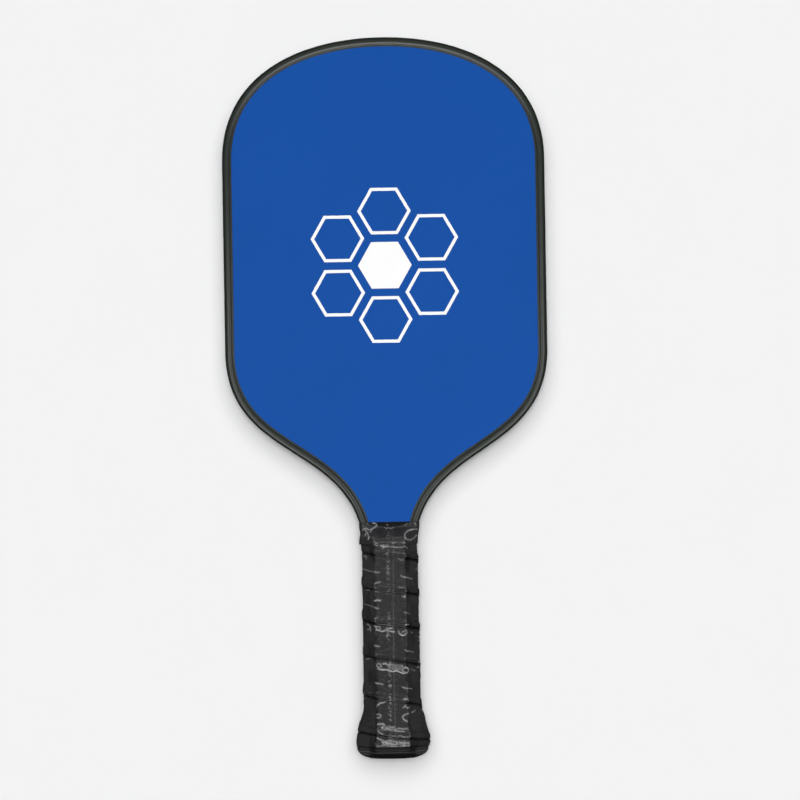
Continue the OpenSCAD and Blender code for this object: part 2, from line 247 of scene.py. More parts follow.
def wear(piece, values):
    """Stores how much painted highlight (to 1) or painted shade (to -1) each vertex gets, for the
    material to read.
    """
    attribute = piece.data.attributes.new("wear", "FLOAT", "POINT")
    attribute.data.foreach_set("value", np.ascontiguousarray(values, np.float32).ravel())


# ---- Creases pressed into the grip and the collar ----

def crease(x, s, lines):
    """Height of the raised creases at x and s. Each line is (height, width, points)."""
    height = np.zeros_like(x)
    for rise, width, points in lines:
        p = np.array(points, float)
        beside = ((x > p[:, 0].min() - 3 * width) & (x < p[:, 0].max() + 3 * width)
                  & (s > p[:, 1].min() - 3 * width) & (s < p[:, 1].max() + 3 * width))
        if not beside.any():
            continue
        q = np.stack([x[beside], s[beside]], -1)
        distance = np.full(len(q), float(FAR))
        for a, b in zip(p[:-1], p[1:]):
            run = b - a
            along = np.clip((q - a) @ run / max(run @ run, 1e-9), 0, 1)
            distance = np.minimum(distance, np.linalg.norm(q - a - along[:, None] * run, axis=1))
        height[beside] = np.maximum(height[beside], rise * bump_at(distance, 0.66 * width))
    return height


# Creases of the front of the collar tape
COLLAR_CREASES = [
    (0.42, 0.55, [(-9.6, 137.3), (-7.6, 136.6), (-7, 135.7), (-8.2, 134.7), (-9.9, 133.6),
                  (-10.8, 132)]),
    (0.4, 0.5, [(-10, 133.6), (-12, 133.2), (-13.2, 134.2), (-14.8, 133.8), (-15.4, 132.8)]),
    (0.42, 0.55, [(-13.2, 134), (-14, 132.6), (-12.7, 131.8), (-13.6, 130.8), (-14, 130)]),
    (0.36, 0.5, [(-12.5, 131.6), (-12.3, 130), (-11.7, 129), (-12.4, 127.6)]),
    (0.42, 0.6, [(16, 133), (13, 133), (10.6, 132.3), (8.9, 130.6), (8.9, 128.6), (10.4, 127.2)]),
    (0.32, 0.6, [(10.4, 127.2), (12, 126.8), (14, 127.6), (15.6, 129.4)]),
    (0.25, 0.45, [(8.8, 135.5), (10.6, 136.5)]),
    (0.25, 0.45, [(14.4, 136.4), (15.6, 135.5)]),
    (0.2, 0.4, [(-2.6, 134.5), (-1.6, 133.8), (-0.6, 134.4), (0.8, 133.7), (2.4, 134.4)]),
    (0.12, 0.35, [(-9.4, 126.1), (-7, 125.8), (-2, 126), (3, 125.9), (9.2, 125.6)]),
    (0.2, 0.4, [(-8, 125.6), (-7.2, 125.6)]),
    (0.2, 0.4, [(0.8, 126), (2.2, 125.6), (4, 125.9)]),
    (0.06, 0.6, [(-16, 129.6), (-9, 128.8), (-3, 130.2), (4, 128.6), (8, 129)]),
]

# Creases of the front of the grip, from the collar down to the butt
GRIP_CREASES = [
    (0.28, 0.38, [(-2, 123.5), (1, 123.4), (4, 122.9), (7.5, 122.9), (9.4, 123.4), (10.3, 122)]),
    (0.34, 0.8, [(-4.6, 123.9), (-3.4, 123.5), (-1.6, 123.7)]),
    (0.34, 0.7, [(-3.8, 122.3), (-3.2, 123.4), (-3.4, 124.9)]),
    (0.2, 0.4, [(-9, 124.6), (-6.6, 124)]),
    (0.26, 0.45, [(5.2, 116.3), (6.2, 115.5), (7.2, 115.6), (8.3, 116.4)]),
    (0.2, 0.45, [(-15.6, 110.3), (-12, 109.3), (-9.5, 108.9), (-6, 108.4)]),
    (0.24, 0.45, [(6.2, 106.4), (7.5, 105.6), (9, 105.4), (12.6, 104.2)]),
    (0.24, 0.5, [(-9, 102), (-7.6, 102.5), (-5.4, 102.9)]),
    (0.24, 0.5, [(5.2, 99.7), (7.2, 99.4)]),
    (0.26, 0.5, [(-10.4, 98.3), (-9, 97.6), (-6.4, 97.1)]),
    (0.26, 0.5, [(7, 94.5), (8.2, 94.1), (8.9, 95.4)]),
    (0.3, 0.6, [(-9.2, 92.1), (-7.6, 92.7), (-5.8, 92.2)]),
    (0.2, 0.45, [(-15.6, 90.2), (-11, 88.9), (-9.2, 88.1), (-6.8, 87.6)]),
    (0.2, 0.45, [(7.6, 85.2), (9, 84.8), (11, 84.2)]),
    (0.22, 0.45, [(-9.4, 81.9), (-7.8, 82.4)]),
    (0.32, 0.5, [(-9.5, 77.6), (-8, 76.2), (-8.6, 75.4), (-6.8, 75), (-5.2, 74.4),
                 (-3.4, 74.8), (-1.6, 76.4)]),
    (0.3, 0.45, [(-8.2, 77.2), (-6.6, 77.3), (-6.2, 76), (-6.8, 75.2)]),
    (0.34, 0.55, [(-2.4, 71.4), (-1.6, 73.2), (-2.2, 74.6), (-0.8, 76.2), (0.8, 76.3)]),
    (0.3, 0.5, [(-1.4, 74.6), (1.8, 74)]),
    (0.32, 0.5, [(4.4, 74.2), (4.9, 72.8), (6.4, 71.9), (8, 72.3), (9.2, 73.2), (9, 74.4)]),
    (0.24, 0.45, [(6.4, 73.8), (8, 74.3), (8.8, 75)]),
    (0.24, 0.45, [(8.4, 78.2), (10.2, 78)]),
    (0.22, 0.45, [(-10, 66.1), (-8, 66), (-6.6, 65.6)]),
    (0.22, 0.45, [(7.8, 63.2), (9.5, 62.7), (12.6, 61.8)]),
    (0.3, 0.45, [(-8.7, 54.8), (-7.7, 56), (-6.2, 55.5), (-5.8, 54.4), (-6.8, 53.5),
                 (-8.2, 53.8), (-8.7, 54.8)]),
    (0.3, 0.45, [(-5, 55.6), (-3.5, 55.8), (-2, 54.9), (0, 55.3), (2.2, 54.5), (5, 54.7),
                 (6.4, 53.4)]),
    (0.34, 0.5, [(-8, 52.9), (-5, 52.2), (-3, 52.3), (-1, 51.5), (1, 51.1), (3, 51.6),
                 (5, 50.6), (7, 49.9)]),
    (0.32, 0.45, [(8, 53.4), (6.6, 52.8), (6.2, 51.4), (7.4, 50.2), (9, 50.3), (9.9, 51.4),
                  (9.3, 52.8), (8, 53.4)]),
    (0.22, 0.45, [(-9.6, 44.5), (-7, 44.2), (-5, 43.6)]),
    (0.24, 0.45, [(6, 41.9), (8, 41.3), (11.4, 40.6)]),
    (0.28, 0.5, [(-1.6, 42.9), (-0.4, 42.8)]),
    (0.32, 0.5, [(-8.6, 31.8), (-6.8, 32.9), (-4, 33.5)]),
    (0.22, 0.45, [(6.8, 35.2), (8.8, 35)]),
    (0.3, 0.5, [(6.2, 29.8), (7.6, 30.9), (8.6, 29.6), (10, 30.1)]),
    (0.3, 0.45, [(-9.4, 26.2), (-7.6, 26.5), (-6.7, 25.4), (-7.2, 24.4), (-9.4, 24.3)]),
    (0.32, 0.5, [(9.6, 26.6), (7.2, 25.8), (5.8, 24.3), (6.6, 23), (8.6, 22)]),
    (0.34, 0.55, [(-9, 20.6), (-5.2, 20.8), (-4.6, 19.8), (-6.4, 18.6), (-4.4, 17.6),
                  (-2, 18.4), (0.4, 18.8)]),
    (0.34, 0.55, [(-4, 18.6), (-1.4, 17.3), (1.2, 16.8), (4, 16.5), (6.6, 16.4)]),
    (0.3, 0.5, [(1.2, 17.4), (3.8, 18.2), (6, 17.8), (8.8, 17.9)]),
    (0.26, 0.45, [(-8.6, 16.9), (-7.2, 15.7), (-5.2, 14.7)]),
    (0.28, 0.45, [(-2.2, 13.1), (-0.6, 13.9), (2, 13.3), (4.6, 13.9), (7.2, 12.7)]),
    (0.34, 0.5, [(-9, 12.9), (-6.6, 11.6), (-4, 10.8), (-2, 11.3), (0.6, 10.8), (3.6, 9.7),
                 (6, 10.1), (9, 9.8)]),
    (0.24, 0.45, [(-6.4, 10.4), (-2.4, 10), (1.6, 9.4)]),
    (0.26, 0.45, [(-9, 8), (-4, 8.3), (0, 7.8), (4, 7.3), (6.8, 6.9)]),
]
# Rows of short puckers side by side: first and last x, step, s of their feet, and height
PUCKER_ROWS = [(-2, 6.4, 0.8, 52, 2.6), (-4.4, 1.6, 1.1, 17.2, 2), (-5.5, 8, 1.5, 9.4, 1.5)]
for first, last, step, foot, rise in PUCKER_ROWS:
    for across in np.arange(first, last, step):
        GRIP_CREASES.append((0.27, 0.36, [(across, foot), (across + 0.35, foot + rise)]))


def scattered_creases(edge, around, seed):
    """Puckers below each seam, all round the handle. around is the distance round a section."""
    pick = np.random.RandomState(seed)
    lines = []
    for turn in range(2, len(SEAMS) - 1):
        for facet in np.arange(-3.5, 4) * around / 8:
            for _ in range(pick.randint(1, 4)):
                u = facet + pick.uniform(-5, 5)
                s = edge(turn, u) - pick.uniform(1.2, 6)
                heading, bend = pick.uniform(-0.5, 0.5), pick.uniform(-1.1, 1.1)
                points = [(u, s)]
                for _ in range(pick.randint(2, 6)):
                    u, s = u + 1.2 * math.cos(heading), s + 1.2 * math.sin(heading)
                    heading += bend
                    points.append((u, s))
                lines.append((pick.uniform(0.15, 0.32), 0.5, points))
    return lines


# ---- Pieces ----

def bezier(p, count, skip):
    """Points and unit outward normals of a cubic curve of four control points."""
    t = np.linspace(0, 1, count)[skip:, None]
    u = 1 - t
    p = [np.array(q, float) for q in p]
    point = u ** 3 * p[0] + 3 * u ** 2 * t * p[1] + 3 * u * t ** 2 * p[2] + t ** 3 * p[3]
    slope = u ** 2 * (p[1] - p[0]) + 2 * u * t * (p[2] - p[1]) + t ** 2 * (p[3] - p[2])
    slope /= np.linalg.norm(slope, axis=1)[:, None]
    return point, np.stack([-slope[:, 1], slope[:, 0]], -1)


def head_outline():
    """The whole outline with its outward normals, from the left neck over the crown to the right."""
    half = HEAD_W / 2
    lean = np.array([math.sin(NECK_LEAN), math.cos(NECK_LEAN)])
    slope = np.array([math.cos(WAIST_SLOPE), math.sin(WAIST_SLOPE)])
    curves = [
        ([(0, PADDLE_L), (CROWN_REACH, PADDLE_L),
          (half, PADDLE_L - CROWN_H + SHOULDER_REACH), (half, PADDLE_L - CROWN_H)], 90, 0),
        ([(half, SIDE_FOOT), (half, SIDE_FOOT - HIP_REACH), WAIST + WAIST_UP * slope, WAIST], 70, 0),
        ([WAIST, WAIST - WAIST_DOWN * slope, NECK + NECK_REACH * lean, NECK], 50, 1),
    ]
    parts = [bezier(*c) for c in curves]
    right, normal = (np.concatenate([p[i] for p in parts]) for i in (0, 1))
    mirror = np.array([-1, 1])
    return (np.concatenate([(right * mirror)[:0:-1], right]),
            np.concatenate([(normal * mirror)[:0:-1], normal]))


def guard_profile():
    """The guard's closed section as (distance inwards, height), with domed lips."""
    tip = [(LIP_REACH, FILM_Z), (LIP_REACH, FILM_Z + 0.1),
           (LIP_REACH - 0.1, FILM_Z + 0.13), (LIP_REACH - 0.7, FILM_Z + 0.17)]
    slope = [(GUARD_CREST + GUARD_BEND * math.sin(a), LIP_Z - GUARD_BEND * (1 - math.cos(a)))
             for a in np.linspace(0.87, 0, 11)]
    corner = [(GUARD_CREST * (1 - math.sin(a)), LIP_Z - GUARD_DROP * (1 - math.cos(a)))
              for a in np.linspace(0.12, math.pi / 2, 12)]
    front = tip + slope + corner
    back = [(u, -z) for u, z in reversed(front)]
    return np.array(front + back + [(WEB_T, -FILM_Z), (WEB_T, FILM_Z)])


def make_edge_guard():
    """The moulded channel round the head, open at the handle."""
    points, normals = head_outline()
    rings = []
    for u, z in guard_profile():
        line = points - u * normals
        rings.append(place(line[:, 0], line[:, 1], z))
    grid = np.stack(rings, 1)
    piece = ribbon("edge_guard_moulding", grid, grid[:, :0])
    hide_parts("edge_guard")
    return piece


def rounded(points, count):
    """The smooth curve through a list of points, with count steps between each two."""
    p = np.array([points[0]] + points + [points[-1]], float)
    curve = []
    for i in range(1, len(p) - 2):
        for t in np.arange(count) / count:
            curve.append(0.5 * (2 * p[i] + (p[i + 1] - p[i - 1]) * t
                                + (2 * p[i - 1] - 5 * p[i] + 4 * p[i + 1] - p[i + 2]) * t ** 2
                                + (3 * p[i] - p[i - 1] - 3 * p[i + 1] + p[i + 2]) * t ** 3))
    return curve + [p[-1]]


def make_butt_cap():
    """The flared cap, from its pocket and skirt to the rounded end with a recess for the badge."""
    angle = np.linspace(0, TURN, 288, endpoint=False)
    pocket = grown(HANDLE, 0.03)
    x, z = ring(pocket, angle, 200)
    rings = [place(x, HANDLE_FOOT, z), place(x, SKIRT_TOP - 0.2, z)]
    for s in np.linspace(SKIRT_TOP - 0.2, GRIP_FOOT, 30):
        x, z = ring(grown(grip_base(s), -BACKING_T), angle, 60)
        rings.append(place(x, s, z))
    lip = grown(grip_base(GRIP_FOOT), STRIP_T - LIP_STEP)
    scuffs = [0 * angle for _ in rings]
    for s, inset in rounded(CAP_END, 4):
        x, z = ring(grown(lip, -inset), angle, 45)
        rings.append(place(x, s, z))
        # Painted highlights: two lines round each corner of the end and a fainter one between them, on
        # corners painted a little lighter
        corner = smooth((np.abs(x) - 12) / 3)
        scuffs.append((0.09 + 0.4 * bump_at(s - 4.5, 0.25) + 0.3 * bump_at(s - 2.9, 0.3)) * corner
                      + 0.35 * bump_at(s - 3.9, 0.2) * (1 - corner))
    for s, radius in ((0, 8.6), (0.02, 8.35), (0.1, 8.12), (0.25, 8.02), (0.5, BADGE_R),
                      (BADGE_RECESS, BADGE_R)):
        rings.append(place(-radius * np.sin(angle), s, radius * np.cos(angle)))
    piece = loft("butt_cap_shell", rings)
    plain = len(piece.data.vertices) - len(scuffs) * len(angle)
    wear(piece, np.concatenate(scuffs + [np.zeros(plain)]))
    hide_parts("butt_cap")
    return piece


def make_badge():
    """A blank disc, slightly domed, with a turned edge."""
    angle = np.linspace(0, TURN, 128, endpoint=False)
    profile = [(7.9, 0), (7.95, 0.1), (7.95, BADGE_T - 0.2), (7.85, BADGE_T - 0.06), (7.65, BADGE_T),
               (7.0, BADGE_T), (6.85, BADGE_T - 0.12), (6.6, BADGE_T - 0.12), (6.45, BADGE_T)]
    profile += [(r, BADGE_T + 0.12 * (1 - (r / 6.4) ** 2)) for r in (6, 5, 4, 3, 2, 1)]
    rings = [place(-r * np.sin(angle), BADGE_RECESS - 0.01 - h, r * np.cos(angle)) for r, h in profile]
    piece = loft("butt_badge_disc", rings)
    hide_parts("butt_badge")
    return piece


def seam(angle):
    """Distance from the butt end of the strip's lower edge after it has turned by angle."""
    # A smooth curve through the crossings of the front, level up to the first of them
    turn = angle / TURN
    i = np.clip(np.floor(turn).astype(int), 0, len(SEAMS) - 2)
    t = turn - i
    s = np.array(SEAMS)
    before, after = s[np.maximum(i - 1, 0)], s[np.minimum(i + 2, len(SEAMS) - 1)]
    p0, p1 = s[i], s[i + 1]
    m0, m1 = (p1 - before) / 2, (after - p0) / 2
    m0 = np.where(i == 0, 0, m0)
    level = (p0 * (1 + 2 * t) * (1 - t) ** 2 + m0 * t * (1 - t) ** 2
             + p1 * (3 - 2 * t) * t ** 2 - m1 * (1 - t) * t ** 2)
    level = np.where(turn < 0, s[0], level)
    # The strip climbs less across the front than across the back
    slowed = 1.25 * np.sin(angle) * smooth(turn - 0.75)
    return level - slowed


def strip_edges():
    """Angles along the strip and its lower edge there, up to where it is cut off level."""
    first_turn, steps = -1.05, 300
    count = int((len(SEAMS) - 1 - first_turn) * steps)
    angle = first_turn * TURN + np.arange(count) * TURN / steps
    wander = 0.16 * noise(angle * 2.4, angle * 0, 5) + 0.07 * noise(angle * 9, angle * 0, 6)
    low = seam(angle) + wander * smooth(angle / TURN)
    keep = low < GRIP_TOP - 1.5
    return angle[keep], low[keep]


def strip_thickness(v, width):
    """Thickness across the strip: rounded, skived edges and a cushioned middle."""
    edge = np.minimum(v, width - v)
    body = STRIP_EDGE + (STRIP_T - STRIP_EDGE) * smooth(edge / SKIVE)
    return np.maximum(body * np.sqrt(1 - (1 - np.clip(edge / 0.45, 0, 1)) ** 2), 0.02)


def distance_round(angle):
    """Distance round the plain grip from the middle of the front, positive towards +X."""
    table = np.linspace(-math.pi, math.pi, 721)
    x, z = ring(grown(HANDLE, STRIP_T), table)
    run = np.concatenate([[0], np.cumsum(np.hypot(np.diff(x), np.diff(z)))])
    run -= run[360]
    turned = (angle + math.pi) % TURN - math.pi
    return -np.interp(turned, table, run), run[-1] * 2


def mould_marks(x, s):
    """Masks of a faint line down the front of the handle and of a broken row of pimples beside it,
    which are raised a little and painted lighter as painted highlights.
    """
    line_x = np.interp(s, [6, 20, 50, 90, 130], [2.6, 1.6, 1.3, 1.6, 2.2])
    spots = smooth((noise(s / 0.7 + 0 * x, x / 0.9, 51) - 0.15) / 0.2) * bump_at(x + 1.1, 0.8)
    gaps = smooth((np.abs(s - 90) - 4) / 2) * smooth((np.abs(s - 67) - 1) / 2)
    return bump_at(x - line_x, 0.24), spots * gaps


def wound_wrinkles(around, s, below_seam):
    """Relief of the wound strip apart from its sharp creases."""
    # Fine puckers just below a seam, where the turn underneath is squeezed
    pucker = bump_at(below_seam - 2.6, 2.2) * (0.35 + 0.65 * smooth(noise(around / 7, s / 9, 3) + 0.5))
    height = 0.16 * pucker * folds(around / 2.2, s / 1.3, 21)
    # The flare gathers the strip into level wrinkles
    gathered = bump_at(s - 13, 7.5) * smooth((s - 7.6) / 1.5)
    height += 0.2 * gathered * folds(around / 6.5 + 0.6 * noise(around / 4, s / 3, 8), s / 1.9, 31)
    # Soft unevenness of hand-wound tape
    return height + 0.08 * noise(around / 9, s / 7, 41) + 0.02 * noise(around / 3.1, s / 4, 42)


def facet_edges(x, s, around):
    """Broken grooves along both edges of the front facet, also painted dark as painted shade, and
    uneven painted shade on the bevels beside it.
    """
    outside = np.abs(x) - 9 - 1.2 * flare_at(s)
    groove = bump_at(outside + 0.2, 0.5) * smooth(0.5 + 1.6 * noise(s / 7, np.sign(x) * 3, 77))
    grime = 0.4 * smooth(0.4 + noise(around / 3.5, s / 8, 92)) * smooth(outside / 0.8)
    return groove, grime * (1.2 - 0.8 * smooth((outside - 3) / 3))


def uneven_sides(x, s):
    """Relief where the right side bulges a little and the left of the flare is wound tighter."""
    right = np.interp(s, [7, 10, 14, 18, 30, 36, 110, 122], [0.5, 0.6, 0.4, 0, 0, 0.2, 0.15, 0])
    left = np.interp(s, [8, 14, 18, 26, 32], [0, -0.4, -0.8, -0.8, 0])
    return right * smooth(x / 12) + left * smooth(-x / 12)


def grip_relief(x, z, s, angle, above):
    """Relief of the grip's outer face, and its painted highlights and painted shade. above is the seam
    over each point.
    """
    around, girth = distance_round(angle)
    below_seam = above - s
    front = z > 0
    lines = scattered_creases(lambda turn, u: SEAMS[turn] - 0.19 * u, girth, 11)
    height = np.maximum(crease(np.where(front, x, FAR), s, GRIP_CREASES),
                        crease(np.where(front & (np.abs(x) < 11), FAR, around), s, lines))
    # Crease crests are painted lighter, as painted highlights
    worn = height / 0.27 * (0.85 + 0.45 * noise(around / 0.9, s / 0.7, 91))
    height += wound_wrinkles(around, s, below_seam)
    line, spots = mould_marks(x, s)
    height += (0.05 * line + 0.14 * spots) * front
    # The line and pimples are also painted lighter, as painted highlights
    worn = np.maximum(worn, (0.22 * line + 0.6 * spots) * front)
    groove, grime = facet_edges(x, s, around)
    height -= 0.1 * groove * front
    # The grooves and the bevels are painted darker, as painted shade
    worn -= (0.8 * groove + grime) * front * (worn < 0.1)
    # A bite where the turn above presses in, also painted dark as a painted shadow
    bite = bump_at(below_seam - 0.35, 0.55)
    height = height * smooth(below_seam / 0.5) - 0.4 * bite
    bite = bite * (0.7 + 0.3 * noise(around / 5, s / 30, 81))
    return height + uneven_sides(x, s), np.clip(worn - bite, -1, 1)


def make_grip():
    """The grip: one cushioned strip, wound from the butt up with each turn over the one below."""
    angle, low = strip_edges()
    below = np.interp(angle - TURN, angle, low, left=-99)
    above = np.interp(angle + TURN, angle, low, right=GRIP_TOP + 3)
    width = np.minimum(np.minimum(STRIP_W, above - low + LAP), GRIP_TOP - low)
    width_below = np.interp(angle - TURN, angle, width)[:, None]
    # Rows of points across the strip, closer together where its edges are rounded
    rows = np.concatenate([[0, 0.03, 0.09, 0.18, 0.3, 0.45, 0.65, 0.9, 1.2],
                           np.arange(1.55, 24.3, 0.36),
                           [24.6, 24.9, 25.15, 25.32, 25.44, STRIP_W]])
    v = rows[None] / STRIP_W * width[:, None]
    s = low[:, None] + v
    theta = np.broadcast_to(angle[:, None], s.shape)
    turn = theta / TURN
    # Height of the turn underneath, which the strip bridges smoothly at its upper edge
    v_under = s - below[:, None]
    under = SQUEEZE * strip_thickness(np.clip(v_under, 0, width_below), width_below)
    under *= smooth((width_below + 1.0 - v_under) / 2.8) * (below[:, None] > 0)
    # The second turn is pressed flat on the first, round the foot of the butt
    under *= 0.25 + 0.75 * smooth(turn * 2 - 1.2)
    base = grip_base(s)
    # The first turn is folded under at the butt, so its edge is as thick as the rest
    hem = (STRIP_T - STRIP_EDGE) * (1 - smooth(v / SKIVE)) * smooth(v / 0.4) * smooth(0.1 - turn)
    top = under + hem + strip_thickness(v, width[:, None])
    x, z = ring(grown(base, top), theta)
    relief, worn = grip_relief(x, z, s, theta, above[:, None])
    # Beside its exposed edge the strip has a thin painted highlight line and an uneven band of painted
    # shade, and the edge itself is painted dark as painted shade
    pressed = bump_at(v - 2.6, 0.28) * smooth(turn - 1.2) * smooth(0.7 + noise(theta * 3, v / 9, 71))
    grubby = smooth((3.6 - v) / 1.6) * smooth(turn - 1.1) * (0.55 + 0.45 * noise(theta * 4, v / 3, 72))
    edge = smooth((0.75 - v) / 0.3) * smooth(turn - 0.6)
    worn = np.clip(worn + 0.3 * pressed - 0.35 * grubby * (worn < 0.1) - 0.8 * edge, -1, 1)
    x, z = ring(grown(base, top + relief * smooth(v / 0.6)), theta)
    outer = place(x, s, z).reshape(s.shape + (3,))
    few = [0, 6, 12, len(rows) // 2, len(rows) - 12, len(rows) - 6, len(rows) - 1]
    s, theta, under, base = (grid[:, few] for grid in (s, theta, under, base))
    x, z = ring(grown(base, under), theta)
    inner = place(x, s, z).reshape(s.shape + (3,))
    piece = ribbon("grip_strip", outer, inner)
    wear(piece, np.concatenate([worn, np.zeros(inner.shape[:2])], axis=1))
    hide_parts("grip_wrap")
    return piece


def collar_inside(s, theta):
    """x and z of the tape's inner face, which comes down from the grip onto the face."""
    rise = smooth((COLLAR_BEND + 1 - s) / 9.6)
    over_grip = grown(HANDLE, BACKING_T + STRIP_T + 0.12)
    over_face = np.array([17.25, LIP_Z + 0.06, 1.6])
    section = over_face * (1 - rise[..., None]) + over_grip * rise[..., None]
    # The left edge keeps its full width down to the hem, while the right one draws in
    slack = np.where(np.sin(theta) > 0, 1, 0) * np.abs(np.sin(theta)) ** 3 * smooth((131.5 - s) / 5)
    section = np.broadcast_to(section, theta.shape + (3,))
    x, z = ring(grown(section, 1.25 * slack), theta)
    # Between the guard's lips the tape lies on the film itself
    dip = (LIP_Z - FILM_Z) * smooth((12.2 - np.abs(x)) / 1.4) * smooth((s - 135.2) / 2.2)
    return x, np.sign(z) * (np.abs(z) - dip * (np.abs(z) > FILM_Z + 0.2))


def collar_relief(x, z, s, around):
    """Relief of the tape's outer face, and its painted highlights and painted shade."""
    front = z > 0
    rows = np.broadcast_to(s, x.shape)
    mirrored = [(rise, width, [(0.8 - 0.9 * px, ps - 0.3) for px, ps in line])
                for rise, width, line in COLLAR_CREASES]
    height = np.maximum(crease(np.where(front, x, FAR), rows, COLLAR_CREASES),
                        crease(np.where(front, FAR, x), rows, mirrored))
    # Crease crests are painted lighter, as painted highlights
    worn = np.clip(height / 0.34 * (0.9 + 0.3 * noise(around / 0.9, s / 0.7, 91)), 0, 1)
    line, spots = mould_marks(x, s)
    height += 0.1 * spots * front
    # The line and pimples are also painted lighter, as painted highlights
    worn = np.maximum(worn, (0.2 * line + 0.6 * spots) * front)
    # The tape is painted darker, as painted shade, where it leaves the handle's curved end and lies on
    # the face
    smile = 134.4 + 1.2 * (x / 8) ** 2
    worn = worn - 0.7 * smooth((s - smile) / 0.6) * (worn < 0.2) - 0.2 * bump_at(s - smile, 0.4)
    # Two patches either side of the middle are painted darker, as painted shade
    hollows = bump_at(np.hypot((np.abs(x) - 5) / 3.2, (s - 131.6) / 2), 1) * front
    worn = worn - 0.45 * hollows * (worn < 0.2)
    height += 0.05 * noise(around / 4, s / 2.6, 61) + 0.04 * folds(around / 9, s / 2.4, 62)
    return height, worn


def make_collar():
    """The tape that closes the top of the grip, drawn down from the handle onto the face."""
    angle = np.linspace(0, TURN, 420, endpoint=False)
    s = np.linspace(COLLAR_TOP, COLLAR_FOOT, 66)[:, None]
    theta = np.broadcast_to(angle[None], (len(s), len(angle)))
    x, z = collar_inside(s, theta)
    around, girth = distance_round(theta)
    relief, worn = collar_relief(x, z, s, around)
    thin = 0.22 + (COLLAR_T - 0.22) * smooth((COLLAR_TOP - s) / 2)
    hem = 0.06 * bump_at(s - COLLAR_FOOT - 0.7, 0.6)
    thickness = thin + hem + relief * smooth((s - COLLAR_FOOT) / 0.8) * smooth((COLLAR_TOP - s) / 0.5)
    # The front and back thicken mostly along z, and the sides outwards
    lift = thickness / np.hypot(x, z)
    flat_face = np.abs(z) > np.abs(x) * 0.35
    dx = np.where(flat_face, x * lift * 0.3, x * lift)
    dz = np.where(flat_face, np.sign(z) * thickness, z * lift)
    inner = [place(x[i], s[i], z[i]) for i in range(len(s))]
    outer = [place(x[i] + dx[i], s[i], z[i] + dz[i]) for i in range(len(s))]
    piece = tube("collar_tape_band", outer + inner[::-1])
    wear(piece, np.concatenate([worn, np.zeros_like(worn)]))
    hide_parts("collar_tape")
    return piece


# ---- Materials ----

# Colour of painted highlights on creases and other marks, and of painted shade on the grip
RUBBED = (0.21, 0.21, 0.21)
GRIME = (0.003, 0.003, 0.003)


